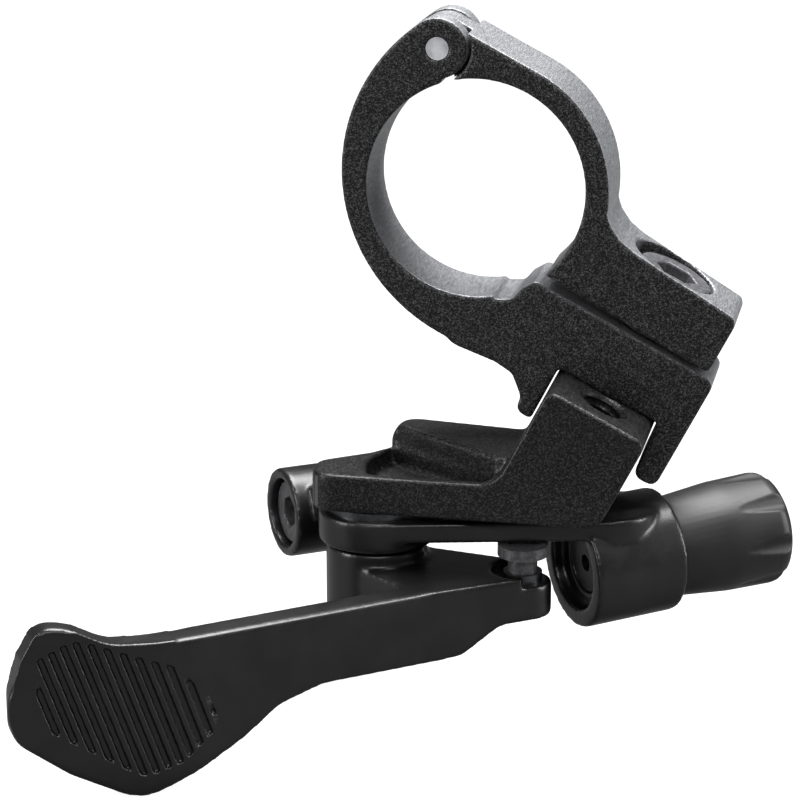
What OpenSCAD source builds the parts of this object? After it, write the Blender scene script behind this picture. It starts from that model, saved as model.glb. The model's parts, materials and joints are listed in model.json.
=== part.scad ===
// Remote lever for a dropper seat post, on a hinged clamp for a 22.2 mm handlebar.
// Origin: middle of the bar bore. +X right, +Y along the bar, +Z up. Millimetres.

/* [Bar clamp] */
// Diameter of the handlebar that the clamp takes
bar_d = 22.2; // [21.8:0.1:22.6]
// Width of the clamp along the bar
clamp_w = 9; // [8:0.5:11]
// Thickness of the upper half's band
band_t = 2.4; // [2:0.1:2.8]
// Diameter of the clamp's hinge pin
hinge_pin_d = 2.3; // [2:0.1:2.6]
// Outer radius of the hinge knuckles
knuckle_r = 3.05; // [2.8:0.05:3.3]
// Slope of the saddle, the arm and the clamp bolt
saddle_tilt = 27; // [26:0.5:28]
// Slope of the upper half's ear
ear_tilt = 31.5; // [30:0.5:32.5]
// Distance from the bore's middle to the clamp bolt, along the saddle
bolt_u = 21.7; // [21.4:0.1:22]
// Thread diameter of the clamp bolt
bolt_d = 5; // [4.5:0.1:5.2]
// Head diameter of the clamp bolt
bolt_head_d = 7.8; // [7:0.1:8]
// Head height of the clamp bolt
bolt_head_h = 3; // [2.6:0.1:3.2]
// Hexagon key size of the clamp bolt
bolt_key = 4; // [3:0.5:4.5]
// Thickness of the saddle between the gap and the bracket arm
saddle_t = 6.5; // [6:0.1:7]
// Length of the two lips that hold the bracket arm
lip_h = 6.2; // [5:0.1:6.6]

/* [Bracket] */
// Width of the bracket arm between the lips
arm_w = 11.1; // [10.4:0.1:11.4]
// Distance from the clamp's middle to the front of the bracket
bracket_front = 12; // [11.5:0.1:12.5]
// Distance from the clamp's middle to the back of the bracket
bracket_back = 4; // [3.6:0.1:4.4]
// Spacing of the two threaded holes in the arm
hole_pitch = 7; // [6.6:0.1:7.2]
// Thickness of the bracket plate
plate_t = 4; // [3.6:0.1:4.4]
// Depth of the pocket in the plate
pocket_d = 2; // [1.4:0.1:2.4]
// Height of the ridge behind the pocket
ridge_h = 2.4; // [1.6:0.1:3]

/* [Swivel and pivot] */
// Radius of the bracket's spigot that the collar turns on
spigot_r = 4; // [3.8:0.1:4.2]
// Wall of the body's collar
collar_t = 2; // [1.8:0.1:2.2]
// Height of the body's collar
collar_h = 3.3; // [3.1:0.1:3.5]
// Thickness of the washer between bracket and body
washer_t = 0.8; // [0.6:0.1:0.9]
// Diameter of the pivot bolt's shoulder
shoulder_d = 5; // [4.6:0.1:5.2]
// Outer radius of the lever's hub
hub_r = 5.3; // [5.2:0.05:5.5]
// Height of the lever's hub
hub_h = 7.4; // [7.2:0.1:7.8]
// Wall of the lever's two bushings
bush_t = 0.95; // [0.8:0.05:1.05]

/* [Pinch screw] */
// Radius of the pinch boss
pinch_r = 4.75; // [4.5:0.05:4.8]
// Thread diameter of the pinch screw
pinch_d = 4; // [3.5:0.1:4.2]
// Head diameter of the pinch screw
pinch_head_d = 6.6; // [6:0.1:6.8]
// Width of the slit that the pinch screw closes
pinch_slit = 0.9; // [0.7:0.1:1.1]

/* [Lever] */
// Height of the blade beside the hub
blade_h = 7.5; // [7:0.1:7.8]
// Thickness of the blade
blade_t = 3.4; // [3:0.1:3.8]
// Length of the straight part of the blade
blade_l = 25.5; // [24.5:0.5:26.5]
// Length of the straight part of the thumb pad
pad_l = 9.9; // [9.5:0.1:10.5]
// Height of the thumb pad
pad_h = 16; // [15:0.1:16.5]
// Thickness of the thumb pad
pad_t = 2.6; // [2.2:0.1:3]
// Number of grip grooves in the pad
groove_n = 14; // [10:1:14]
// Depth of the grip grooves
groove_d = 0.35; // [0.2:0.05:0.5]

/* [Cable adjuster] */
// Radius of the adjuster housing
housing_r = 6.5; // [6.2:0.05:6.5]
// Length of the adjuster housing
housing_l = 10.2; // [9.8:0.1:10.6]
// Radius of the knob at its far end
knob_r = 6; // [5.8:0.1:6.2]
// Length of the knob
knob_l = 13.1; // [12.6:0.1:13.4]
// Thread diameter of the adjuster barrel
barrel_d = 6; // [5.8:0.1:6.2]
// Number of flutes round the knob
flute_n = 8; // [6:1:10]

/* [Hidden] */
$fn = 64;

// Play between a pin and the hole that it turns in
run_fit = 0.05;
// Play beside a screw that passes through freely
bolt_play = 0.3;
// Gap between two parts that don't touch
gap = 0.3;
// Overlap that joins the solids of one piece
eps = 0.05;
swell = 0.02; // round ends stand this far proud of their tangents, for a clean crossing

// Bar clamp
bar_r = bar_d / 2;
band_r = bar_r + band_t;
half_w = clamp_w / 2;
hinge = [-3.9, 14];
flank_mid = [4.7, 1.3];
flank_r = norm(hinge - flank_mid) + knuckle_r;
tongue_w = 3.6;
knuckle_gap = 0.35;
gap_v = -5.7;
ear_v = -4.9;
ear_end_u = 29.3;
saddle_end_u = 30.4;
seat_v = gap_v - saddle_t;
arm_u0 = bolt_u - arm_w / 2;
arm_u1 = bolt_u + arm_w / 2;
lip_left = 2.1;
bolt_seat_v = -1.6;
bolt_l = 17;
bolt_hole_l = 9;
ear_shift = 0.9;

// Bracket
plate_z0 = -32.5;
plate_z1 = plate_z0 + plate_t;
pivot = [-9.6, -6.5];

// Swivel and pivot
body_z1 = plate_z0 - washer_t;
body_z0 = body_z1 - collar_h;
collar_r = spigot_r + run_fit + collar_t;
hub_z1 = body_z0 - gap;
hub_z0 = hub_z1 - hub_h;
shoulder_r = shoulder_d / 2;
bush_r0 = shoulder_r + run_fit;
bush_r1 = bush_r0 + bush_t;
bush_h = 2.1;
pocket_z = hub_z1 - 2.6;
spring_pocket_r = 4.35;
pivot_head_r = 4.2;
pivot_head_h = 1.6;
pivot_washer_t = 0.4;
pivot_thread_r = 2;
pivot_thread_l = 5.4;
pivot_key = 4;
web_t = 2.2;
web_end = [13.4, -1.6];
web_r = 5.3;

// Pinch screw, in a frame whose z runs along the screw
pinch_mouth = [-21.4, 0.15, -37.1];
pinch_az = 35.3;
pinch_slit_at = 5.8;
pinch_end = 12.6;
pinch_reach = 12.5;
pinch_seat = 3.5;
pinch_head_h = 2.7;
pinch_key = 3;
pinch_l = 7.8;

// Lever
blade_z1 = -38.5;
blade_from = [-1.3, -16.7];
blade_az = 219.2;
pad_az = 201.7;
anchor = [5.9, -8];
anchor_r = 2.95;
anchor_z1 = -39.6;
anchor_z0 = -43.3;
anchor_bolt_r = 1.5;
anchor_head_r = 2.2;
anchor_head_h = 1.4;
anchor_key = 2.5;
anchor_washer_r = 2;
anchor_washer_t = 0.9;
anchor_nut_r = 2.6;
anchor_nut_z0 = -36.95;
anchor_nut_z1 = -35.8;
blade_side_az = 210.5;
bend_r = 30;
bend_steps = 14;
pad_drop = pad_h - blade_h;
groove_pitch = 1.3;
groove_slant = -19;

// Cable adjuster, in a frame whose z runs along the cable
mouth = [10.3, -3.4, -39.55];
cable_az = 35;
cable_rise = 3;
barrel_r = barrel_d / 2;
thread_z0 = 1.4;
thread_z1 = 4.6;
sleeve_z0 = 7;
sleeve_z1 = housing_l - 0.1;
sleeve_r = 4.3;
knob_z0 = housing_l + 0.2;
mouth_r = 4.6;
key_w = 1.4;
key_r = 4.8;
barrel_z0 = 1.6;
cable_hole_r = 0.9;
socket_r = 2.55;
socket_z0 = 15.1;
knob_r0 = 5.2;
flute_r = 1.6;
flute_d = 0.75;
flute_z0 = 1.6;
knob_turns = 3;
knob_coil_r = 3.75;

// Return spring
coil_r = 3.45;
coil_wire_r = 0.26;
leg_az = 0;
leg_r = 5;
leg_hole_r = 0.4;
leg_slot_at = 160;

// Geometry helpers
function dir(a) = [cos(a), sin(a)];
function unit(v) = v / norm(v);
function flat(p) = [p[0], p[1]];
function wrap(a) = a > 180 ? a - 360 : a < -180 ? a + 360 : a;

// The arc that rounds corner p, given as [x, y, radius], in steps of n
function corner(before, p, after, n) =
    let (q = flat(p), a = unit(flat(before) - q), b = unit(flat(after) - q))
    let (half = acos(a * b) / 2, t = p[2] / tan(half))
    let (mid = q + unit(a + b) * p[2] / sin(half))
    let (v0 = q + a * t - mid, v1 = q + b * t - mid)
    let (a0 = atan2(v0[1], v0[0]), turn = wrap(atan2(v1[1], v1[0]) - a0))
    [for (k = [0:n]) mid + p[2] * dir(a0 + turn * k / n)];

// An outline from corners [x, y] or [x, y, radius]
function rounded(pts, n = 4) =
    let (last = len(pts) - 1)
    [for (i = [0:last])
        let (p = pts[i])
        each (len(p) > 2 && p[2] > 0)
            ? corner(pts[i == 0 ? last : i - 1], p, pts[i == last ? 0 : i + 1], n)
            : [flat(p)]];

// A point of the sloping saddle frame, in X and Z
function from_uv(u, v, r = 0) =
    [u * cos(saddle_tilt) + v * sin(saddle_tilt),
     v * cos(saddle_tilt) - u * sin(saddle_tilt), r];

// Where the line of constant u meets height z
function u_line_x(u, z) =
    u * cos(saddle_tilt) + (z + u * sin(saddle_tilt)) * tan(saddle_tilt);

// Two round ends joined by their common tangents
module link(p, rp, q, rq) {
    a = atan2(q[1] - p[1], q[0] - p[0]);
    b = acos((rp - rq) / norm(q - p));
    translate(p) circle(r = rp + swell);
    translate(q) circle(r = rq + swell);
    polygon([p + rp * dir(a + b), p + rp * dir(a - b), q + rq * dir(a - b), q + rq * dir(a + b)]);
}

// An outline in X and Z, drawn out along Y between two places
module across(y0, y1) {
    translate([0, y1, 0]) rotate([90, 0, 0]) linear_extrude(y1 - y0) children();
}

module saddle_frame() { rotate([0, saddle_tilt, 0]) children(); }

module at_pivot(z) { translate([pivot[0], pivot[1], z]) children(); }

module pinch_frame() {
    translate(pinch_mouth) rotate([0, 0, pinch_az]) rotate([0, 90, 0]) children();
}

module cable_frame() {
    translate(mouth) rotate([0, 0, cable_az]) rotate([0, 90 - cable_rise, 0]) children();
}

module ring(r0, r1, h) {
    difference() {
        cylinder(r = r1, h = h);
        translate([0, 0, -1]) cylinder(r = r0, h = h + 2);
    }
}

module hex_cut(key, depth) {
    translate([0, 0, -depth]) cylinder(r = key / 2 / cos(30), h = depth + 1, $fn = 6);
}

// A round wire along a list of points, as one closed skin
function tangent(path, i) =
    unit(path[min(i + 1, len(path) - 1)] - path[max(i - 1, 0)]);
module wire(path, r, sides = 6) {
    n = len(path);
    rings = [for (i = [0:n - 1])
        let (t = tangent(path, i), up = abs(t[2]) > 0.9 ? [1, 0, 0] : [0, 0, 1])
        let (a = unit(cross(up, t)), b = cross(t, a))
        [for (k = [0:sides - 1])
            path[i] + r * (cos(360 * k / sides) * a + sin(360 * k / sides) * b)]];
    points = [for (c = rings) each c];
    skin = [for (i = [0:n - 2], k = [0:sides - 1])
        let (k1 = (k + 1) % sides)
        [i * sides + k, (i + 1) * sides + k, (i + 1) * sides + k1, i * sides + k1]];
    caps = [[for (k = [0:sides - 1]) k],
            [for (k = [sides - 1:-1:0]) (n - 1) * sides + k]];
    polyhedron(points, concat(skin, caps));
}

// Bar clamp, lower half: flank, hinge ears, saddle and the two lips
module saddle_outline() {
    lip_v = seat_v - lip_h;
    left = arm_u0 - lip_left;
    rotate(-saddle_tilt) polygon(rounded([
        [2, -12], [8.5, -8.2], [9.2, gap_v + 0.4, 1.2], [saddle_end_u, gap_v + 0.2, 1],
        [saddle_end_u, lip_v, 0.95], [arm_u1 + 0.6, lip_v, 0.95],
        [arm_u1 + 0.15, seat_v, 0.3], [arm_u0 - 0.15, seat_v, 0.3],
        [arm_u0 - 0.15, lip_v, 0.3], [left, lip_v, 0.9], [left + 0.05, -16.9, 1],
        [12.1, -15.1, 1.2], [10, -14.9], [4, -15.6, 3]]));
}

module clamp_lower() color("dimgray") difference() {
    union() {
        across(-half_w, half_w) intersection() {
            translate(flank_mid) circle(r = flank_r, $fn = 96);
            polygon([[0, 0], 30 * dir(108), [-40, 40], [-40, -40], [0, -40], 30 * dir(-80)]);
        }
        across(-half_w, half_w) translate(hinge) circle(r = knuckle_r);
        across(-half_w, half_w) saddle_outline();
    }
    across(-clamp_w, clamp_w) circle(r = bar_r, $fn = 128);
    across(-tongue_w / 2 - 0.1, tongue_w / 2 + 0.1) translate(hinge) circle(r = knuckle_r + gap);
    across(-clamp_w, clamp_w) translate(hinge) circle(r = hinge_pin_d / 2);
    saddle_frame() translate([bolt_u, 0, seat_v - 1])
        cylinder(r = bolt_d / 2 + bolt_play, h = saddle_t + 3);
}

// Bar clamp, upper half: band, hinge tongue and the ear with its oval bolt hole
module ear_outline() {
    rotate(-saddle_tilt) polygon(rounded([
        [8, -3], [9.9, ear_v + 0.6, 1.3], [ear_end_u, ear_v - 0.15, 0.5],
        [ear_end_u, 1.25, 0.9],
        [13, 1.25 + (ear_end_u - 13) * tan(ear_tilt - saddle_tilt), 6],
        [11.2, 7.4], [6, 6]]));
}

// A hole that lets the ear tip on its hinge with the bolt in place
module tipping_slot(r, v, h) {
    saddle_frame() translate([bolt_u, 0, v]) linear_extrude(h) union() {
        circle(r = r);
        translate([-ear_shift, 0]) circle(r = r);
        translate([-ear_shift, -r]) square([ear_shift, 2 * r]);
    }
}

module upper_region() {
    low = ear_v + 0.6;
    polygon([[0, 0], 40 * dir(104), [40, 40], flat(from_uv(60, low)), flat(from_uv(8, low))]);
}

module clamp_upper() color("dimgray") difference() {
    union() {
        across(-half_w, half_w) union() {
            intersection() {
                link(hinge, knuckle_r - 0.15, [0, 0], band_r);
                upper_region();
            }
            ear_outline();
        }
        across(-tongue_w / 2, tongue_w / 2) translate(hinge) circle(r = knuckle_r - 0.15);
    }
    across(-clamp_w, clamp_w) circle(r = bar_r, $fn = 128);
    for (side = [-1, 1])
        across(min(side * tongue_w / 2, side * clamp_w), max(side * tongue_w / 2, side * clamp_w))
            translate(hinge) circle(r = knuckle_r + knuckle_gap);
    across(-clamp_w, clamp_w) translate(hinge) circle(r = hinge_pin_d / 2 + run_fit);
    tipping_slot(bolt_d / 2 + bolt_play, ear_v - 3, 10);
    tipping_slot(bolt_head_d / 2 + bolt_play, bolt_seat_v, 12);
}

module hinge_pin() color("silver")
    across(-half_w + 0.1, half_w - 0.1) translate(hinge) circle(r = hinge_pin_d / 2);

module clamp_bolt() color("dimgray") saddle_frame() translate([bolt_u, 0, bolt_seat_v])
    difference() {
        union() {
            translate([0, 0, -bolt_l]) cylinder(r = bolt_d / 2 - run_fit, h = bolt_l + eps);
            cylinder(r = bolt_head_d / 2, h = bolt_head_h);
        }
        translate([0, 0, bolt_head_h]) hex_cut(bolt_key, bolt_head_h - 1.1);
    }

// Bracket: arm with its threaded holes, plate with pocket and ridge, and the spigot
module arm_outline() {
    corner_x = u_line_x(arm_u1, plate_z0);
    polygon(rounded([
        from_uv(arm_u0, seat_v, 1.1), from_uv(arm_u1, seat_v, 1.1),
        [corner_x, plate_z0, 2], [-7, plate_z0], [-7, plate_z1],
        [u_line_x(arm_u0, plate_z1), plate_z1, 3]]));
}

module bracket() color("dimgray") difference() {
    back = bracket_back;
    front = -bracket_front;
    union() {
        across(front, back) arm_outline();
        translate([0, 0, plate_z0]) linear_extrude(plate_t) polygon(rounded([
            [-15.7, front, 2.6], [11, front, 1], [11, back, 1], [-5, back, 2],
            [-8.4, 0.4, 2], [-11, -3.3, 1.5], [-15.7, -7, 2]], 6));
        intersection() {
            translate([0, 0, plate_z1 - 2]) linear_extrude(ridge_h + 2) polygon(rounded([
                [-10.4, 0.3, 1], [3.4, -10.2], [12, -10.2], [12, -0.8], [-7, 1.8, 1.5]]));
            across(front, back) polygon(rounded([
                [-10.9, plate_z1 - 2.5], [-8.6, plate_z1 + ridge_h, 1.5],
                [u_line_x(arm_u0, plate_z1 + ridge_h) + 1, plate_z1 + ridge_h],
                [u_line_x(arm_u0, plate_z1) + 2, plate_z1 - 2.5]]));
        }
        at_pivot(body_z0) cylinder(r = spigot_r, h = plate_z0 - body_z0 + 1);
    }
    translate([0, 0, plate_z1 - pocket_d]) linear_extrude(pocket_d + 6) polygon(rounded([
        [-10.6, -6.2, 1.5], [-9.9, front + 1.3, 1.5], [2.2, front + 1.3, 1],
        [3.4, -10.2, 0.3], [-9.2, -0.9, 0.6]]));
    for (y = [0, -hole_pitch])
        saddle_frame() translate([bolt_u, y, seat_v - bolt_hole_l])
            cylinder(r = bolt_d / 2, h = bolt_hole_l + 1);
    at_pivot(body_z0 - 1) cylinder(r = pivot_thread_r, h = pivot_thread_l + 1.6);
}

module swivel_washer() color("silver")
    at_pivot(body_z1) ring(spigot_r + run_fit, hub_r, washer_t);

// Swivelling body: split collar with its pinch boss, web and adjuster housing
module body() color("black") difference() {
    union() {
        at_pivot(body_z0) cylinder(r = collar_r, h = collar_h);
        translate([0, 0, body_z1 - web_t]) linear_extrude(web_t)
            link(pivot, collar_r - eps, web_end, web_r);
        cable_frame() cylinder(r = housing_r, h = housing_l);
        pinch_frame() {
            cylinder(r = pinch_r, h = pinch_end);
            translate([pinch_mouth[2] - body_z1 + 0.1, -pinch_reach, pinch_slit_at - 4])
                cube([collar_h - 0.1, pinch_reach, 8]);
        }
    }
    at_pivot(body_z0 - 1) cylinder(r = spigot_r + run_fit, h = collar_h + 2);
    pinch_frame() {
        translate([-2 * pinch_r, -pinch_reach, pinch_slit_at - pinch_slit / 2])
            cube([4 * pinch_r, pinch_reach + 2 * pinch_r, pinch_slit]);
        translate([0, 0, -1]) cylinder(r = pinch_head_d / 2 + bolt_play, h = pinch_seat + 1);
        cylinder(r = pinch_d / 2 + 0.15, h = pinch_slit_at);
        cylinder(r = pinch_d / 2, h = pinch_end - 1);
    }
    at_pivot(body_z0 - 1) rotate([0, 0, leg_az]) translate([leg_r, 0, 0])
        cylinder(r = leg_hole_r, h = 2.4, $fn = 24);
    cable_frame() {
        translate([0, 0, -1]) cylinder(r = mouth_r, h = thread_z0 + 1);
        cylinder(r = barrel_r + run_fit, h = housing_l + 1);
        translate([0, 0, thread_z1]) cylinder(r = sleeve_r + 0.1, h = housing_l);
        translate([-key_w / 2 - 0.1, -key_r - 0.1, thread_z1])
            cube([key_w + 0.2, 2 * key_r + 0.2, housing_l]);
    }
}

module pinch_screw() color("dimgray") pinch_frame() difference() {
    union() {
        translate([0, 0, pinch_seat - pinch_head_h]) cylinder(r = pinch_head_d / 2, h = pinch_head_h);
        translate([0, 0, pinch_seat - eps]) cylinder(r = pinch_d / 2 - run_fit, h = pinch_l);
    }
    translate([0, 0, pinch_seat - pinch_head_h]) mirror([0, 0, 1])
        hex_cut(pinch_key, pinch_head_h - 0.9);
}

// Shoulder bolt that carries the lever, with its washer and two bushings
module pivot_bolt() color("dimgray") difference() {
    foot = hub_z0 - pivot_washer_t;
    union() {
        at_pivot(foot - pivot_head_h / 2) cylinder(r = shoulder_r, h = body_z0 - foot + pivot_head_h / 2);
        at_pivot(body_z0 - eps) cylinder(r = pivot_thread_r - run_fit, h = pivot_thread_l + eps);
        at_pivot(foot - pivot_head_h) cylinder(r = pivot_head_r, h = pivot_head_h);
    }
    at_pivot(foot - pivot_head_h) mirror([0, 0, 1]) hex_cut(pivot_key, 2.2);
}

module pivot_washer() color("silver")
    at_pivot(hub_z0 - pivot_washer_t) ring(bush_r0, pivot_head_r, pivot_washer_t);

module upper_bushing() color("peru")
    at_pivot(pocket_z - bush_h) ring(bush_r0, bush_r1, bush_h);

module lower_bushing() color("peru") at_pivot(hub_z0) ring(bush_r0, bush_r1, bush_h);

// Wire of the return spring: three turns, one leg up to the body, one out to the hub
module return_spring() color("silver") {
    turns = 3;
    steps = 20 * turns;
    top = hub_z1 - 0.45;
    low = pocket_z + 0.4;
    coil = [for (k = [0:steps])
        let (a = leg_az + 20 + (turns * 360 + leg_slot_at - 24) * k / steps)
        [coil_r * cos(a), coil_r * sin(a), top + (low - top) * k / steps]];
    outer = leg_r * dir(leg_az);
    upper = [[outer[0], outer[1], body_z0 + 1.1], [outer[0], outer[1], top + 0.2],
        [outer[0] - 0.25, outer[1] + 0.1, top]];
    end = 4.9 * dir(leg_az + leg_slot_at + 2);
    at_pivot(0) wire(concat(upper, coil, [[end[0], end[1], low]]), coil_wire_r);
}

// Lever: hub, web, cable anchor boss, blade and grooved pad
// The band seen from above: straight, then a bend about a centre at the rear, then straight
module blade_plan(front, rear0, rear1) {
    bend = blade_az - pad_az;
    mid = [blade_l, -bend_r];
    tail = pad_l * dir(-bend);
    steps = [0:bend_steps];
    face = [for (k = steps) mid + (bend_r + front) * dir(90 - bend * k / bend_steps)];
    back = [for (k = steps)
        let (j = bend_steps - k, t = rear0 + (rear1 - rear0) * j / bend_steps)
        mid + (bend_r - t) * dir(90 - bend * j / bend_steps)];
    translate(blade_from) rotate(blade_az) polygon(concat(
        [[-1, front]], face, [face[bend_steps] + tail, back[0] + tail], back, [[-1, -rear0]]));
}

// Shapes seen from the side of the blade, drawn across its whole thickness
module blade_side() {
    translate([blade_from[0], blade_from[1], 0]) rotate([0, 0, blade_side_az])
        rotate([90, 0, 0]) linear_extrude(80, center = true) children();
}

module blade_outline() {
    top = blade_z1;
    low = top - blade_h;
    polygon(rounded([
        [-2, top], [29.8, top - 0.1, 14], [34.4, -38.4, 6], [38, -36.6, 3], [40.9, -36.2, 2],
        [42.7, -39.5, 3], [44.3, -44.6, 4], [43.4, -48, 3], [38.3, -51.6, 8],
        [31.6, low - pad_drop - 0.3, 5], [25.8, -52.6, 6], [20.9, -50, 6], [17.4, -47.4, 5],
        [12.5, low, 8], [-2, low]], 6));
}

// The lens of slanted grip grooves in the front of the pad
module groove_outline() {
    intersection() {
        polygon(rounded([
            [41.4, -39.6, 1], [41.2, -46.3, 1.2], [31.4, -52.3, 2.5], [27.3, -51.2, 2],
            [23.6, -48, 1.5], [24.6, -45, 3], [28.2, -41.2, 3], [37.6, -37.6, 3]]));
        for (i = [0:groove_n - 1])
            translate([41.6 - i * groove_pitch, -45]) rotate(groove_slant)
                square([groove_pitch / 2, 40], center = true);
    }
}

module lever_web() {
    root = blade_from - blade_t / 2 * dir(blade_az + 90);
    rim_z0 = blade_z1 - blade_h + eps;
    translate([0, 0, anchor_z0]) linear_extrude(blade_z1 - anchor_z0) difference() {
        union() {
            link(pivot, 4.6, root, blade_t / 2);
            link(pivot, 4.2, anchor, anchor_r - 0.3);
            link(root, blade_t / 2, anchor, anchor_r);
            polygon([pivot, root, anchor]);
        }
        translate(pivot) circle(r = bush_r1);
    }
    // The rim runs deeper at the blade's root and rises towards the anchor
    intersection() {
        translate([0, 0, -50]) linear_extrude(50 + blade_z1) link(root, blade_t / 2, anchor, anchor_r);
        translate([root[0], root[1], 0]) rotate([0, 0, atan2(anchor[1] - root[1], anchor[0] - root[0])])
            rotate([90, 0, 0]) linear_extrude(2 * hub_r, center = true) polygon(rounded([
                [-3, blade_z1], [-3, rim_z0], [2.6, rim_z0, 2.5],
                [7, anchor_z0, 2.5], [12, anchor_z0], [12, blade_z1]], 6));
    }
}

module lever() color("black") difference() {
    union() {
        at_pivot(hub_z0) cylinder(r = hub_r, h = hub_h);
        lever_web();
        translate([anchor[0], anchor[1], anchor_z0]) cylinder(r = anchor_r, h = anchor_z1 - anchor_z0);
        intersection() {
            translate([0, 0, -70]) linear_extrude(50) blade_plan(0, blade_t, pad_t);
            blade_side() blade_outline();
        }
    }
    at_pivot(hub_z0 - 1) cylinder(r = bush_r1, h = hub_h + 2);
    at_pivot(pocket_z) cylinder(r = spring_pocket_r, h = hub_h);
    at_pivot(hub_z1 - 0.9) rotate([0, 0, leg_az - 9]) rotate_extrude(angle = 47)
        translate([spring_pocket_r - 0.5, 0]) square([3, 2]);
    at_pivot(pocket_z) rotate([0, 0, leg_az + leg_slot_at]) translate([0, -0.7, 0])
        cube([hub_r + 1, 1.4, hub_h]);
    translate([anchor[0], anchor[1], anchor_z1]) cylinder(r = anchor_r + 0.2, h = 4);
    translate([anchor[0], anchor[1], anchor_z0 - 1])
        cylinder(r = anchor_head_r + 0.1, h = anchor_head_h + 1.1);
    translate([anchor[0], anchor[1], anchor_z0 - 1]) cylinder(r = anchor_bolt_r + run_fit, h = 8);
    intersection() {
        translate([0, 0, -70]) linear_extrude(50) blade_plan(1, groove_d, groove_d);
        blade_side() groove_outline();
    }
}

// Cable anchor: screw from below, washer and nut that clamp the cable
module anchor_bolt() color("dimgray") translate([anchor[0], anchor[1], anchor_z0 + 0.1])
    difference() {
        union() {
            cylinder(r = anchor_bolt_r, h = anchor_nut_z1 - anchor_z0 - 0.25);
            cylinder(r = anchor_head_r, h = anchor_head_h);
        }
        mirror([0, 0, 1]) hex_cut(anchor_key, 1.1);
    }

module anchor_washer() color("silver") translate([anchor[0], anchor[1], anchor_z1])
    ring(anchor_bolt_r + run_fit, anchor_washer_r, anchor_washer_t);

module anchor_nut() color("dimgray") translate([anchor[0], anchor[1], anchor_nut_z0])
    ring(anchor_bolt_r, anchor_nut_r, anchor_nut_z1 - anchor_nut_z0);

// Cable adjuster: threaded barrel with the socket for the outer cable
module adjuster_barrel() color("dimgray") cable_frame() difference() {
    translate([0, 0, barrel_z0]) cylinder(r = barrel_r, h = knob_z0 + knob_l - 0.9 - barrel_z0);
    cylinder(r = cable_hole_r, h = 60);
    translate([0, 0, socket_z0]) cylinder(r = socket_r, h = 40);
}

// Fluted knob: the flutes deepen toward the far end, where it is widest
module knob_blank() {
    rotate_extrude($fn = 96) polygon(rounded([
        [sleeve_r - 1.2, -0.25], [sleeve_r - 0.2, -0.25], [sleeve_r - 0.2, 0],
        [knob_r0, 0, 0.4], [knob_r - 0.15, knob_l * 0.5, 12], [knob_r, knob_l, 1.5],
        [barrel_r + 0.6, knob_l, 0.5], [barrel_r + 0.6, knob_l - 0.9], [barrel_r, knob_l - 0.9],
        [barrel_r, -0.25]]));
}

module adjuster_knob() color("black") cable_frame() translate([0, 0, knob_z0]) difference() {
    knob_blank();
    for (i = [0:flute_n - 1]) rotate([0, 0, 360 * i / flute_n])
        translate([knob_r + flute_r - flute_d, 0, flute_z0])
            cylinder(r1 = flute_r * 0.35, r2 = flute_r, h = knob_l - flute_z0 + 1, $fn = 40);
}

// Click sleeve: slides on two keys and presses against the knob
module detent_sleeve() color("silver") cable_frame() difference() {
    sleeve_l = sleeve_z1 - sleeve_z0;
    union() {
        translate([0, 0, sleeve_z0]) cylinder(r = sleeve_r, h = sleeve_l);
        translate([-key_w / 2, -key_r, sleeve_z0]) cube([key_w, 2 * key_r, sleeve_l]);
    }
    cylinder(r = barrel_r + 0.15, h = 60);
}

module adjuster_spring() color("silver") cable_frame() {
    steps = 20 * knob_turns;
    wire([for (k = [0:steps])
        let (a = 360 * knob_turns * k / steps)
        [knob_coil_r * cos(a), knob_coil_r * sin(a),
         thread_z1 + 0.28 + (sleeve_z0 - thread_z1 - 0.56) * k / steps]], coil_wire_r);
}

clamp_lower();
clamp_upper();
hinge_pin();
clamp_bolt();
bracket();
swivel_washer();
body();
pinch_screw();
pivot_bolt();
pivot_washer();
upper_bushing();
lower_bushing();
return_spring();
lever();
anchor_bolt();
anchor_washer();
anchor_nut();
adjuster_barrel();
adjuster_knob();
detent_sleeve();
adjuster_spring();
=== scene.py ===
"""Looks of a dropper post remote lever: blasted clamp, satin lever, fluted adjuster and fastenings."""

import json
import logging
import math
from dataclasses import dataclass, field
from enum import Enum

import bmesh
import bpy
from mathutils import Matrix, Vector
from mathutils.bvhtree import BVHTree

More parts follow.
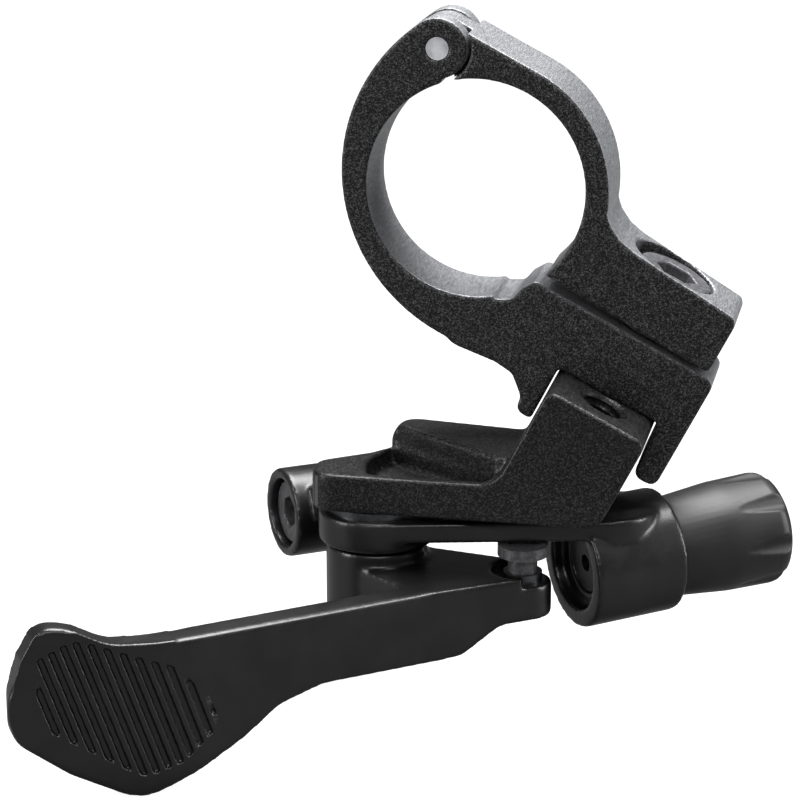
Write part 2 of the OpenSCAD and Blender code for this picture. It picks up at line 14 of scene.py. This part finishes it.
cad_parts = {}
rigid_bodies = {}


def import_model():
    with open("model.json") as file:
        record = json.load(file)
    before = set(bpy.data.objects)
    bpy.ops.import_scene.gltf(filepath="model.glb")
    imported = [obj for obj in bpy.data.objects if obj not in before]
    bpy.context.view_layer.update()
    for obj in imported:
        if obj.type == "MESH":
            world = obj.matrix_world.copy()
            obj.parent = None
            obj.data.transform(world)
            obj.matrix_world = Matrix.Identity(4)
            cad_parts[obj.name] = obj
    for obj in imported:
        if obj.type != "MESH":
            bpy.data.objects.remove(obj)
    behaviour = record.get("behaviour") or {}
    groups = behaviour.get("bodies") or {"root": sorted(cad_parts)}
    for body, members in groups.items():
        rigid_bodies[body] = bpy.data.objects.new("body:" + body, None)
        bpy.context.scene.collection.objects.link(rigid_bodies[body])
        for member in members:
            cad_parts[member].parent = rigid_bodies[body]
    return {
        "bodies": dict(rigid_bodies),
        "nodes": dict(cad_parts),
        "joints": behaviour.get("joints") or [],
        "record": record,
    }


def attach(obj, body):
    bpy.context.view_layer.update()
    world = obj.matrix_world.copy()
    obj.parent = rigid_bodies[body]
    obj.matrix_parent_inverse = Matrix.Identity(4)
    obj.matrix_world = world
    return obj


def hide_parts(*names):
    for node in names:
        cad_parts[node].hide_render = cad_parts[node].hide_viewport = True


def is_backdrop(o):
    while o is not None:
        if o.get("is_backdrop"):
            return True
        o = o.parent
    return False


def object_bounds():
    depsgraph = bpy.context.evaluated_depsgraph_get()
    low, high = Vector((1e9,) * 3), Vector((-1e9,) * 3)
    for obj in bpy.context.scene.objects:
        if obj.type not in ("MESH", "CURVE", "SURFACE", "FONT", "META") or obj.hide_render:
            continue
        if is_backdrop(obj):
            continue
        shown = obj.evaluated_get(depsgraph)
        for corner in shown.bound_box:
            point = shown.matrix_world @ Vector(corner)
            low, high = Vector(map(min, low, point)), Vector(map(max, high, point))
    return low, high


LOG = logging.getLogger("remote_lever")
MM = 0.001
WHITE = (1.0, 1.0, 1.0, 1.0)

# Places and directions of the CAD, in mm and degrees
HINGE = (-3.9, 0.0, 14.0)
PIVOT = (-9.6, -6.5, 0.0)
CABLE_MOUTH = (10.3, -3.4, -39.55)
CABLE_AZIMUTH = 35.0
CABLE_RISE = 3.0
SADDLE_TILT = 27.0
BOLT_U = 21.7
SEAT_V = -12.2
SPARE_HOLE_Y = -7.0


class Body(Enum):
    """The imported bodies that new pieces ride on."""

    FRAME = "frame"
    CAP = "clamp_cap"
    SCREW = "clamp_screw"
    SWIVEL = "swivel_body"
    LEVER = "lever"
    ADJUSTER = "adjuster"


def linear(hex_colour: str) -> tuple[float, float, float, float]:
    """Turns an sRGB hex colour to the linear values of a shader socket.

    Args:
        hex_colour: Six hex digits after a hash sign.

    Returns:
        Red, green, blue and an alpha of 1.
    """
    parts = [int(hex_colour[i:i + 2], 16) / 255 for i in (1, 3, 5)]
    r, g, b = (c / 12.92 if c <= 0.04045 else ((c + 0.055) / 1.055) ** 2.4 for c in parts)
    return (r, g, b, 1.0)


def per_mm(size: float) -> float:
    """Gives the texture scale at which one cell measures size mm."""
    return 1 / (size * MM)


def direction(azimuth: float, rise: float) -> Vector:
    """Gives the unit vector at an azimuth and a rise above level, in degrees."""
    a, e = math.radians(azimuth), math.radians(rise)
    return Vector((math.cos(e) * math.cos(a), math.cos(e) * math.sin(a), math.sin(e)))


def facing(axis: Vector) -> Matrix:
    """Gives the turn that takes the Z axis to this axis."""
    return axis.to_track_quat("Z", "Y").to_matrix().to_4x4()


def add(tree: bpy.types.NodeTree, kind: str, settings: dict[str, object] | None = None,
        inputs: dict[str, object] | None = None) -> bpy.types.Node:
    """Adds a node, sets its properties and fills or links its inputs.

    Args:
        tree: The node tree that takes the node.
        kind: The node's type name.
        settings: Properties of the node by name.
        inputs: Values, or sockets to link from, by input name or number.

    Returns:
        The new node.
    """
    node = tree.nodes.new(kind)
    for name, value in (settings or {}).items():
        setattr(node, name, value)
    for name, value in (inputs or {}).items():
        socket = node.inputs[int(name) if name.isdigit() else name]
        if isinstance(value, bpy.types.NodeSocket):
            tree.links.new(value, socket)
        else:
            socket.default_value = value
    return node


def ramp(tree: bpy.types.NodeTree, factor: bpy.types.NodeSocket,
         stops: list[tuple[float, str]]) -> bpy.types.NodeSocket:
    """Adds a colour ramp through the stops and returns its colour socket."""
    node = add(tree, "ShaderNodeValToRGB", inputs={"Fac": factor})
    band = node.color_ramp.elements
    while len(band) < len(stops):
        band.new(1.0)
    for element, (place, colour) in zip(band, stops):
        element.position = place
        element.color = linear(colour)
    return node.outputs["Color"]


def noise(tree: bpy.types.NodeTree, place: bpy.types.NodeSocket, size: float, detail: float,
          roughness: float = 0.5) -> bpy.types.NodeSocket:
    """Adds a noise texture.

    Args:
        tree: The material's tree.
        place: The coordinates.
        size: The size of its largest blotches, in mm.
        detail: How many finer layers it has.
        roughness: How strong the finer layers are.

    Returns:
        The noise, from 0 to 1.
    """
    texture = add(tree, "ShaderNodeTexNoise", inputs={
        "Vector": place, "Scale": per_mm(size), "Detail": detail, "Roughness": roughness})
    return texture.outputs["Fac"]


@dataclass(frozen=True)
class Finish:
    """A finish, with the material that shows it."""

    name: str

    def start(self) -> tuple[bpy.types.Material, bpy.types.NodeTree, bpy.types.Node,
                             bpy.types.Node]:
        """Makes the material with its shader and its coordinates.

        Returns:
            The material, its tree, the shader node and the coordinate node.
        """
        material = bpy.data.materials.new(self.name)
        material.use_nodes = True
        tree = material.node_tree
        return material, tree, tree.nodes["Principled BSDF"], add(tree, "ShaderNodeTexCoord")

    def surface(self, tree: bpy.types.NodeTree, shader: bpy.types.Node,
                wear: bpy.types.NodeSocket, low: float, high: float,
                height: bpy.types.NodeSocket, strength: float, pit: float,
                full: float = 1.0) -> None:
        """Links the roughness and the fine relief of the surface.

        Args:
            tree: The material's tree.
            shader: The shader node.
            wear: What the roughness varies with.
            low: The roughness where wear is 0.
            high: The roughness where wear is full.
            height: What the relief follows.
            strength: How strong the relief is.
            pit: How deep the relief is, in mm.
            full: The wear that counts as full.
        """
        rough = add(tree, "ShaderNodeMapRange", inputs={
            "Value": wear, "From Max": full, "To Min": low, "To Max": high})
        tree.links.new(rough.outputs["Result"], shader.inputs["Roughness"])
        bump = add(tree, "ShaderNodeBump", inputs={
            "Strength": strength, "Distance": pit * MM, "Height": height})
        tree.links.new(bump.outputs["Normal"], shader.inputs["Normal"])

    def material(self) -> bpy.types.Material:
        """Builds the material."""
        raise NotImplementedError


@dataclass(frozen=True)
class BlastedAnodised(Finish):
    """Aluminium, bead blasted and anodised black: a fine grain with painted glints on a near black.

    Blasting grit leaves pits, whose rims catch the light one by one: their glints are painted
    into the grain's colour, and sharp edges get a painted edge highlight. Where a part was turned
    or milled after blasting, its bands round the bar are smoother and greyer than its faces, the
    grey partly that finish and partly painted sheen.
    """

    dark: str = "#0b0b0b"
    # Painted highlight: the light grey of the grain's glints, for pit rims that catch the light
    painted_glint: str = "#5e5e60"
    # Painted edge highlight: the colour that sharp edges are lightened to
    edge: str = "#56575a"
    # Painted sheen on a partly real turned finish: the bands' grey and their darker brushed lines
    band: str = "#9c9da0"
    band_sheen_dark: str = "#77787b"
    grit: float = 0.1
    grain_from: float = 0.22
    grain_to: float = 0.6
    edge_highlight_from: float = 0.54
    edge_highlight_to: float = 0.64
    roughness: float = 0.4
    smoother: float = 0.06
    rougher: float = 0.16
    depth: float = 0.55
    pit: float = 0.05
    metal: float = 0.5
    band_metal: float = 0.85
    band_starts: float = 0.6
    band_full: float = 0.25
    brush: float = 0.12
    brush_stretch: float = 0.08
    banded: bool = True

    def material(self) -> bpy.types.Material:
        """Builds the material."""
        material, tree, shader, coordinates = self.start()
        place = coordinates.outputs["Object"]
        cells = add(tree, "ShaderNodeTexVoronoi", {"feature": "F1"},
                    {"Vector": place, "Scale": per_mm(self.grit), "Randomness": 1.0})
        pick = add(tree, "ShaderNodeSeparateColor", inputs={"Color": cells.outputs["Color"]})
        fine = noise(tree, place, self.grit * 2, 3.0, 0.6)
        both = add(tree, "ShaderNodeMath", {"operation": "MULTIPLY"},
                   {"0": pick.outputs["Red"], "1": fine})
        # Real blasted grain, with its lighter cells painted as glints of light
        grain = ramp(tree, both.outputs["Value"],
                     [(0.0, self.dark), (self.grain_from, self.dark),
                      (self.grain_to, self.painted_glint), (1.0, self.painted_glint)])
        geometry = add(tree, "ShaderNodeNewGeometry")
        # Painted edge highlight: the sharpest places of the mesh lighten towards the edge colour
        wear_and_edge_highlight = add(tree, "ShaderNodeMapRange", inputs={
            "Value": geometry.outputs["Pointiness"], "From Min": self.edge_highlight_from,
            "From Max": self.edge_highlight_to})
        edge_highlighted = add(tree, "ShaderNodeMix", {"data_type": "RGBA"}, {
            "Factor": wear_and_edge_highlight.outputs["Result"], "6": grain, "7": linear(self.edge)})
        colour = edge_highlighted.outputs[2]
        shader.inputs["Metallic"].default_value = self.metal
        if self.banded:
            colour = self.band_with_painted_sheen(tree, shader, coordinates, colour)
        tree.links.new(colour, shader.inputs["Base Color"])
        self.surface(tree, shader, pick.outputs["Green"], self.roughness - self.smoother,
                     self.roughness + self.rougher, fine, self.depth, self.pit)
        return material

    def band_with_painted_sheen(self, tree: bpy.types.NodeTree, shader: bpy.types.Node,
                    coordinates: bpy.types.Node,
                    colour: bpy.types.NodeSocket) -> bpy.types.NodeSocket:
        """Greys what doesn't face along the bar, partly painted sheen, with brushed lines across it.

        Args:
            tree: The material's tree.
            shader: The shader node, whose metallic input is linked.
            coordinates: The coordinate node.
            colour: The colour of the faces.

        Returns:
            The colour of faces and bands.
        """
        normal = add(tree, "ShaderNodeSeparateXYZ",
                     inputs={"Vector": coordinates.outputs["Normal"]})
        side = add(tree, "ShaderNodeMath", {"operation": "ABSOLUTE"},
                   {"0": normal.outputs["Y"]})
        around = add(tree, "ShaderNodeMapRange", inputs={
            "Value": side.outputs["Value"], "From Min": self.band_starts,
            "From Max": self.band_full})
        brushed = add(tree, "ShaderNodeMapping", inputs={
            "Vector": coordinates.outputs["Object"], "Scale": (1.0, self.brush_stretch, 1.0)})
        lines = noise(tree, brushed.outputs["Vector"], self.brush, 2.0)
        # Painted sheen, partly a real turned finish: grey where the surface faces round the bar
        band_sheen = ramp(tree, lines, [(0.3, self.band_sheen_dark), (0.7, self.band)])
        mix = add(tree, "ShaderNodeMix", {"data_type": "RGBA"}, {
            "Factor": around.outputs["Result"], "6": colour, "7": band_sheen})
        metal = add(tree, "ShaderNodeMapRange", inputs={
            "Value": around.outputs["Result"], "To Min": self.metal,
            "To Max": self.band_metal})
        tree.links.new(metal.outputs["Result"], shader.inputs["Metallic"])
        return mix.outputs[2]


@dataclass(frozen=True)
class SatinAnodised(Finish):
    """Aluminium, forged, tumbled and anodised: a smooth satin black with soft light strips."""

    base: str = "#0c0c0d"
    # Here only a lighter tone in random clouds, with no edge highlight
    wear_and_edge_highlight: str = "#161617"
    cloud: float = 5.0
    roughness: float = 0.33
    spread: float = 0.08
    grain: float = 0.22
    depth: float = 0.1
    pit: float = 0.03
    metal: float = 0.1

    def material(self) -> bpy.types.Material:
        """Builds the material."""
        material, tree, shader, coordinates = self.start()
        place = coordinates.outputs["Object"]
        cloud = noise(tree, place, self.cloud, 4.0, 0.6)
        fine = noise(tree, place, self.grain, 2.0, 0.6)
        colour = ramp(tree, cloud, [(0.35, self.base), (0.7, self.wear_and_edge_highlight)])
        tree.links.new(colour, shader.inputs["Base Color"])
        shader.inputs["Metallic"].default_value = self.metal
        both = add(tree, "ShaderNodeMath", {"operation": "MULTIPLY"}, {"0": cloud, "1": fine})
        self.surface(tree, shader, both.outputs["Value"], self.roughness - self.spread,
                     self.roughness + self.spread, fine, self.depth, self.pit, full=0.5)
        return material


@dataclass(frozen=True)
class TurnedMetal(Finish):
    """Metal turned on a lathe: fine rings about an axis, which draw the highlight round it."""

    axis_point: tuple[float, float, float]
    axis: tuple[float, float, float]
    base: str = "#b9babd"
    shade: str = "#8f9094"
    cloud: float = 1.2
    roughness: float = 0.3
    smoother: float = 0.06
    rougher: float = 0.08
    ring: float = 0.14
    depth: float = 0.25
    pit: float = 0.02
    metal: float = 1.0

    def material(self) -> bpy.types.Material:
        """Builds the material."""
        material, tree, shader, coordinates = self.start()
        place = coordinates.outputs["Object"]
        there = Matrix.Translation(Vector(self.axis_point) * MM) @ facing(Vector(self.axis))
        away = there.inverted()
        mapped = add(tree, "ShaderNodeMapping", inputs={
            "Vector": place, "Location": away.to_translation(), "Rotation": away.to_euler()})
        # The wave texture packs 20 rings in one unit of its scale
        rings = add(tree, "ShaderNodeTexWave",
                    {"wave_type": "RINGS", "rings_direction": "Z"},
                    {"Vector": mapped.outputs["Vector"], "Scale": per_mm(self.ring) / 20,
                     "Distortion": 0.6, "Detail": 2.0})
        cloud = noise(tree, place, self.cloud, 3.0)
        colour = ramp(tree, cloud, [(0.35, self.shade), (0.65, self.base)])
        tree.links.new(colour, shader.inputs["Base Color"])
        shader.inputs["Metallic"].default_value = self.metal
        self.surface(tree, shader, cloud, self.roughness - self.smoother,
                     self.roughness + self.rougher, rings.outputs["Fac"], self.depth, self.pit)
        return material


@dataclass(frozen=True)
class BlackOxide(Finish):
    """Hardened steel with a black oxide skin: dark grey, with a dull lustre and small flecks."""

    base: str = "#444446"
    fleck: str = "#68686b"
    fleck_size: float = 0.5
    roughness: float = 0.4
    smoother: float = 0.08
    rougher: float = 0.14
    depth: float = 0.15
    pit: float = 0.02
    metal: float = 0.5

    def material(self) -> bpy.types.Material:
        """Builds the material."""
        material, tree, shader, coordinates = self.start()
        flecks = noise(tree, coordinates.outputs["Object"], self.fleck_size, 5.0, 0.7)
        colour = ramp(tree, flecks, [(0.42, self.base), (0.7, self.fleck)])
        tree.links.new(colour, shader.inputs["Base Color"])
        shader.inputs["Metallic"].default_value = self.metal
        self.surface(tree, shader, flecks, self.roughness - self.smoother,
                     self.roughness + self.rougher, flecks, self.depth, self.pit)
        return material


def new_object(name: str, bm: bmesh.types.BMesh, smooth: bool = True) -> bpy.types.Object:
    """Puts a bmesh into a new object at the origin.

    Args:
        name: The piece's name.
        bm: The mesh, in metres. It is freed.
        smooth: Whether its faces are shaded smooth.

    Returns:
        The object, linked to the scene.
    """
    mesh = bpy.data.meshes.new(name)
    for face in bm.faces:
        face.smooth = smooth
    bm.to_mesh(mesh)
    bm.free()
    piece = bpy.data.objects.new(name, mesh)
    bpy.context.scene.collection.objects.link(piece)
    return piece


def evaluated(piece: bpy.types.Object) -> bmesh.types.BMesh:
    """Gives the piece's mesh with its modifiers worked in."""
    graph = bpy.context.evaluated_depsgraph_get()
    bm = bmesh.new()
    bm.from_object(piece, graph)
    return bm


def dress(piece: bpy.types.Object, material: bpy.types.Material) -> None:
    """Gives the piece this material alone."""
    piece.data.materials.clear()
    piece.data.materials.append(material)


@dataclass
class SoftEdgedPart:
    """A machined or forged part, whose edges are broken as tumbling or deburring leaves them.

    The part's own solid is remeshed evenly, and the even mesh is then relaxed, which rounds
    its edges and leaves its flats and bores where they are. More passes round them further.
    """

    node: str
    name: str
    body: Body
    slot: str
    passes: int
    voxel: float = 0.2
    weld: float = 0.001
    pull: float = 0.5

    def build(self, frame: dict[str, object]) -> bpy.types.Object:
        """Builds the piece, and lets it stand for its solid.

        Args:
            frame: The loaded frame.

        Returns:
            The piece.
        """
        solid = frame["nodes"][self.node]
        bm = bmesh.new()
        bm.from_mesh(solid.data)
        bmesh.ops.remove_doubles(bm, verts=bm.verts, dist=self.weld * MM)
        rough = new_object(self.name + "_rough", bm)
        remesh = rough.modifiers.new("even", "REMESH")
        remesh.mode = "VOXEL"
        remesh.voxel_size = self.voxel * MM
        bm = evaluated(rough)
        bpy.data.objects.remove(rough)
        self.relax(bm)
        self.shape(bm, solid)
        bmesh.ops.recalc_face_normals(bm, faces=bm.faces)
        piece = new_object(self.name, bm)
        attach(piece, self.body.value)
        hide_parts(self.node)
        LOG.info("%s: %d faces", self.name, len(piece.data.polygons))
        return piece

    def stays_crisp(self, place: Vector) -> bool:
        """Tells whether a place in mm is relaxed only once. Most parts have none."""
        return False

    def relax(self, bm: bmesh.types.BMesh) -> None:
        """Rounds the edges."""
        soft = [v for v in bm.verts if not self.stays_crisp(v.co / MM)]
        for verts in [bm.verts] + [soft] * (self.passes - 1):
            bmesh.ops.smooth_vert(bm, verts=verts, factor=self.pull, use_axis_x=True,
                                  use_axis_y=True, use_axis_z=True)

    def shape(self, bm: bmesh.types.BMesh, solid: bpy.types.Object) -> None:
        """Gives the relaxed mesh its last forms. Most parts need none.

        Args:
            bm: The relaxed mesh.
            solid: The exact solid's object.
        """


@dataclass
class LeverPart(SoftEdgedPart):
    """The forged lever: large edge rounds, and a pad with crisp slanted grip grooves.

    The grooved field is bounded along the blade by near and far, above by a line that falls
    towards the hub, and below by one that rises both ways from the pad's lowest stretch.
    """

    root: tuple[float, float] = (-1.3, -16.7)
    side_azimuth: float = 210.5
    near: float = 20.6
    far: float = 43.4
    top: float = -36.9
    top_bend: float = 30.5
    top_slope: float = 0.7
    bottom: float = -52.8
    bottom_near: float = 27.5
    near_slope: float = 1.0
    bottom_far: float = 32.5
    far_slope: float = 0.62
    front_facing: float = -0.2
    groove_facing: float = -0.1

    def in_grip(self, place: Vector) -> bool:
        """Tells whether a place in mm lies in the grooved field."""
        a = math.radians(self.side_azimuth)
        t = (place.x - self.root[0]) * math.cos(a) + (place.y - self.root[1]) * math.sin(a)
        if not self.near < t < self.far:
            return False
        high = self.top - max(0.0, self.top_bend - t) * self.top_slope
        low = (self.bottom + max(0.0, t - self.bottom_far) * self.far_slope
               + max(0.0, self.bottom_near - t) * self.near_slope)
        return low < place.z < high

    def stays_crisp(self, place: Vector) -> bool:
        """Tells whether a place in mm is relaxed only once."""
        return self.in_grip(place)

    def shape(self, bm: bmesh.types.BMesh, solid: bpy.types.Object) -> None:
        """Cuts the grip grooves crisply: the field is made finer and laid on the exact solid.

        Args:
            bm: The relaxed mesh.
            solid: The exact solid's object.
        """
        bm.normal_update()
        faces = [f for f in bm.faces if f.normal.y < self.front_facing
                 and all(self.in_grip(v.co / MM) for v in f.verts)]
        edges = list({e for f in faces for e in f.edges})
        bmesh.ops.subdivide_edges(bm, edges=edges, cuts=1, use_grid_fill=True)
        exact = bmesh.new()
        exact.from_mesh(solid.data)
        tree = BVHTree.FromBMesh(exact)
        bm.normal_update()
        for vert in bm.verts:
            if vert.normal.y < self.groove_facing and self.in_grip(vert.co / MM):
                vert.co = tree.find_nearest(vert.co)[0]
        exact.free()


@dataclass
class ThreadedHole:
    """The thread cut in a hole, as rings with the flanks of a real one."""

    name: str
    body: Body
    slot: str
    mouth: Vector
    inward: Vector
    radius: float
    pitch: float
    turns: int
    start: float = 0.15
    bite: float = 0.02
    crest_from: float = 0.42
    crest_to: float = 0.58
    steps: int = 48

    def profile(self) -> list[tuple[float, float]]:
        """Lists the thread's points as radius and height, in mm, from the mouth inwards."""
        root = self.radius + self.bite
        crest = self.radius - self.pitch / 2
        points = []
        for i in range(self.turns):
            z = -self.start - i * self.pitch
            points += [(root, z), (crest, z - self.pitch * self.crest_from),
                       (crest, z - self.pitch * self.crest_to)]
        return points + [(root, -self.start - self.turns * self.pitch)]

    def build(self) -> bpy.types.Object:
        """Builds the thread by spinning its profile round the hole's axis.

        Returns:
            The piece.
        """
        bm = bmesh.new()
        verts = [bm.verts.new((r * MM, 0, z * MM)) for r, z in self.profile()]
        edges = [bm.edges.new(pair) for pair in zip(verts, verts[1:])]
        bmesh.ops.spin(bm, geom=verts + edges, cent=(0, 0, 0), axis=(0, 0, 1), dvec=(0, 0, 0),
                       angle=math.tau, steps=self.steps, use_merge=True, use_duplicate=False)
        bmesh.ops.transform(bm, verts=bm.verts,
                            matrix=Matrix.Translation(self.mouth * MM) @ facing(-self.inward))
        bmesh.ops.recalc_face_normals(bm, faces=bm.faces)
        bmesh.ops.reverse_faces(bm, faces=bm.faces)
        piece = new_object(self.name, bm)
        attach(piece, self.body.value)
        LOG.info("%s: %d turns", self.name, self.turns)
        return piece


@dataclass(frozen=True)
class Lamp:
    """A soft rectangular lamp: its place and size in mm, and its power in watts."""

    name: str
    place: tuple[float, float, float]
    size: tuple[float, float]
    watts: float


LAMPS = (
    Lamp("lamp_above", (20, 60, 300), (320, 220), 5.0),
    Lamp("lamp_left", (-260, -160, 60), (50, 260), 0.7),
    Lamp("lamp_right", (280, 20, 40), (40, 260), 0.8),
    Lamp("lamp_front_strip", (60, -330, 190), (260, 16), 0.6),
)


@dataclass
class Studio:
    """The camera, the pale floor and the soft lamps."""

    target: Vector = field(default_factory=lambda: Vector((-8.546, 0.0, -23.777)) * MM)
    azimuth: float = 11.656
    elevation: float = 16.614
    distance: float = 300.0
    lens: float = 129.46
    sensor: float = 36.0
    nearest: float = 10.0
    floor_half: float = 3000.0
    floor_grey: float = 0.12
    floor_glow: float = 0.95
    ambient: float = 0.12

    def back(self) -> Vector:
        """Gives the direction from the object to the camera."""
        a, e = math.radians(self.azimuth), math.radians(self.elevation)
        return Vector((math.sin(a) * math.cos(e), -math.cos(a) * math.cos(e), math.sin(e)))

    def camera(self) -> None:
        """Sets the camera at the photograph's angle."""
        data = bpy.data.cameras.new("camera")
        data.lens = self.lens
        data.sensor_width = self.sensor
        data.clip_start = self.nearest * MM
        camera = bpy.data.objects.new("camera", data)
        camera.location = self.target + self.back() * self.distance * MM
        camera.rotation_euler = self.back().to_track_quat("Z", "Y").to_euler()
        bpy.context.scene.collection.objects.link(camera)
        bpy.context.scene.camera = camera

    def light(self, lamp: Lamp) -> None:
        """Sets up a lamp that points at the object."""
        data = bpy.data.lights.new(lamp.name, "AREA")
        data.shape = "RECTANGLE"
        data.size, data.size_y = (s * MM for s in lamp.size)
        data.energy = lamp.watts
        light = bpy.data.objects.new(lamp.name, data)
        light.location = Vector(lamp.place) * MM
        light.rotation_euler = (light.location - self.target).to_track_quat("Z", "Y").to_euler()
        bpy.context.scene.collection.objects.link(light)

    def seen(self, tree: bpy.types.NodeTree) -> bpy.types.NodeSocket:
        """Gives 1 where the camera sees the surface, straight or through something."""
        path = add(tree, "ShaderNodeLightPath")
        either = add(tree, "ShaderNodeMath", {"operation": "MAXIMUM"},
                     {"0": path.outputs["Is Camera Ray"],
                      "1": path.outputs["Is Transmission Ray"]})
        return either.outputs["Value"]

    def floor(self, height: float) -> None:
        """Lays the pale floor just under the object.

        Args:
            height: The floor's height, in metres.
        """
        bm = bmesh.new()
        bmesh.ops.create_grid(bm, x_segments=1, y_segments=1, size=self.floor_half * MM)
        bmesh.ops.translate(bm, vec=(0, 0, height), verts=bm.verts)
        floor = new_object("floor", bm, smooth=False)
        material = bpy.data.materials.new("pale_floor")
        material.use_nodes = True
        tree = material.node_tree
        shader = tree.nodes["Principled BSDF"]
        shader.inputs["Base Color"].default_value = (*[self.floor_grey] * 3, 1)
        shader.inputs["Roughness"].default_value = 1.0
        shader.inputs["Specular IOR Level"].default_value = 0.0
        shader.inputs["Emission Color"].default_value = WHITE
        glow = add(tree, "ShaderNodeMath", {"operation": "MULTIPLY"},
                   {"0": self.seen(tree), "1": self.floor_glow})
        tree.links.new(glow.outputs["Value"], shader.inputs["Emission Strength"])
        dress(floor, material)
        floor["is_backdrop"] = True

    def world(self) -> None:
        """Sets a white surround for what is seen and a dim one for what is lit."""
        world = bpy.data.worlds.new("surround")
        bpy.context.scene.world = world
        world.use_nodes = True
        tree = world.node_tree
        tree.nodes.clear()
        lit, white = (add(tree, "ShaderNodeBackground",
                          inputs={"Color": WHITE, "Strength": strength})
                      for strength in (self.ambient, 1.0))
        mix = add(tree, "ShaderNodeMixShader", inputs={
            "Fac": self.seen(tree), "1": lit.outputs["Background"],
            "2": white.outputs["Background"]})
        add(tree, "ShaderNodeOutputWorld", inputs={"Surface": mix.outputs["Shader"]})

    def build(self, height: float) -> None:
        """Builds the camera, world and lamps, and the floor at this height in metres."""
        self.camera()
        self.world()
        for lamp in LAMPS:
            self.light(lamp)
        self.floor(height)


@dataclass
class RemoteLever:
    """The whole lever: its soft-edged parts, threads and the finishes of every solid."""

    frame: dict[str, object]
    clamp: Finish = BlastedAnodised("blasted_anodised_clamp")
    bracket: Finish = BlastedAnodised("blasted_anodised_bracket", grit=0.12, painted_glint="#464648",
                                      roughness=0.36, depth=0.4, banded=False)
    satin: Finish = SatinAnodised("satin_anodised_lever")
    housing: Finish = SatinAnodised("satin_anodised_body", base="#0a0a0b", roughness=0.34)
    knob: Finish = SatinAnodised("matte_anodised_knob", base="#0e0e0f", wear_and_edge_highlight="#151516",
                                 roughness=0.46, metal=0.2)
    oxide: Finish = BlackOxide("black_oxide_steel")

    def parts(self) -> list[tuple[SoftEdgedPart, Finish]]:
        """Lists the soft-edged parts with their finishes."""
        return [
            (SoftEdgedPart("clamp_lower", "lower_clamp_half", Body.FRAME, "clamp_anodised",
                           passes=3), self.clamp),
            (SoftEdgedPart("clamp_upper", "upper_clamp_half", Body.CAP, "clamp_anodised",
                           passes=3), self.clamp),
            (SoftEdgedPart("bracket", "offset_bracket", Body.FRAME, "clamp_anodised",
                           passes=10), self.bracket),
            (SoftEdgedPart("body", "swivel_housing", Body.SWIVEL, "body_black",
                           passes=9), self.housing),
            (LeverPart("lever", "forged_lever", Body.LEVER, "body_black",
                       passes=11, voxel=0.22), self.satin),
            (SoftEdgedPart("adjuster_knob", "fluted_knob", Body.ADJUSTER, "knob_black",
                           passes=1, voxel=0.15), self.knob),
        ]

    def screws(self) -> list[tuple[SoftEdgedPart, Finish]]:
        """Lists the screws, whose small edges are broken too."""
        return [
            (SoftEdgedPart("clamp_bolt", "clamp_bolt_m5", Body.SCREW, "black_steel",
                           passes=2, voxel=0.13), self.oxide),
            (SoftEdgedPart("pinch_screw", "pinch_screw_m4", Body.SWIVEL, "black_steel",
                           passes=2, voxel=0.13), self.oxide),
            (SoftEdgedPart("pivot_bolt", "shoulder_bolt_m4", Body.FRAME, "black_steel",
                           passes=2, voxel=0.14), self.oxide),
        ]

    def dress_solids(self) -> None:
        """Gives each solid that stays in view its finish."""
        up = (0.0, 0.0, 1.0)
        cable = tuple(direction(CABLE_AZIMUTH, CABLE_RISE))
        bright = TurnedMetal("bright_turned_pin", HINGE, (0.0, 1.0, 0.0), base="#d6d7da",
                             shade="#b2b3b7", metal=0.35)
        washer = TurnedMetal("zinc_plated_washer", PIVOT, up, base="#5e5f61", shade="#47484a",
                             roughness=0.34)
        barrel = TurnedMetal("turned_anodised_barrel", CABLE_MOUTH, cable, base="#2c2c2e",
                             shade="#1f1f21", roughness=0.36, metal=0.7)
        bronze = TurnedMetal("sintered_bronze_bushing", PIVOT, up, base="#8a6a3c",
                             shade="#6e532d", roughness=0.45)
        spring = TurnedMetal("drawn_spring_wire", PIVOT, up, base="#8d8e92", shade="#6f7074",
                             roughness=0.28, ring=0.3)
        sleeve = TurnedMetal("turned_steel_sleeve", CABLE_MOUTH, cable, base="#7e7f83",
                             shade="#636468")
        oxide = BlackOxide("black_oxide_small_parts")
        looks = {
            bright: ["hinge_pin"],
            washer: ["swivel_washer", "pivot_washer", "anchor_washer"],
            bronze: ["upper_bushing", "lower_bushing"],
            spring: ["return_spring", "adjuster_spring"],
            barrel: ["adjuster_barrel"],
            sleeve: ["detent_sleeve"],
            oxide: ["anchor_bolt", "anchor_nut"],
        }
        for finish, nodes in looks.items():
            material = finish.material()
            for node in nodes:
                dress(self.frame["nodes"][node], material)

    def spare_thread(self) -> ThreadedHole:
        """Gives the thread that shows in the bracket's open hole, on the sloping saddle."""
        inward = -direction(0.0, 90 - SADDLE_TILT)
        mouth = (direction(0.0, -SADDLE_TILT) * BOLT_U - inward * SEAT_V
                 + Vector((0, SPARE_HOLE_Y, 0)))
        return ThreadedHole("spare_hole_thread", Body.FRAME, "clamp_anodised", mouth, inward,
                            radius=2.5, pitch=0.8, turns=9)

    def build(self) -> None:
        """Builds and dresses everything."""
        made: dict[str, bpy.types.Material] = {}
        for part, finish in self.parts() + self.screws():
            if finish.name not in made:
                made[finish.name] = finish.material()
            dress(part.build(self.frame), made[finish.name])
        dress(self.spare_thread().build(), made[self.bracket.name])
        self.dress_solids()


def main() -> None:
    """Builds the studio and the lever, with the floor laid just under the CAD's box."""
    logging.basicConfig(level=logging.INFO, format="%(message)s")
    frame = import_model()
    cad_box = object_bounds()
    floor_gap = 0.05 * MM
    bpy.context.scene.view_settings.view_transform = "Standard"
    Studio().build(cad_box[0][2] - floor_gap)
    RemoteLever(frame).build()


if __name__ == "__main__":
    main()
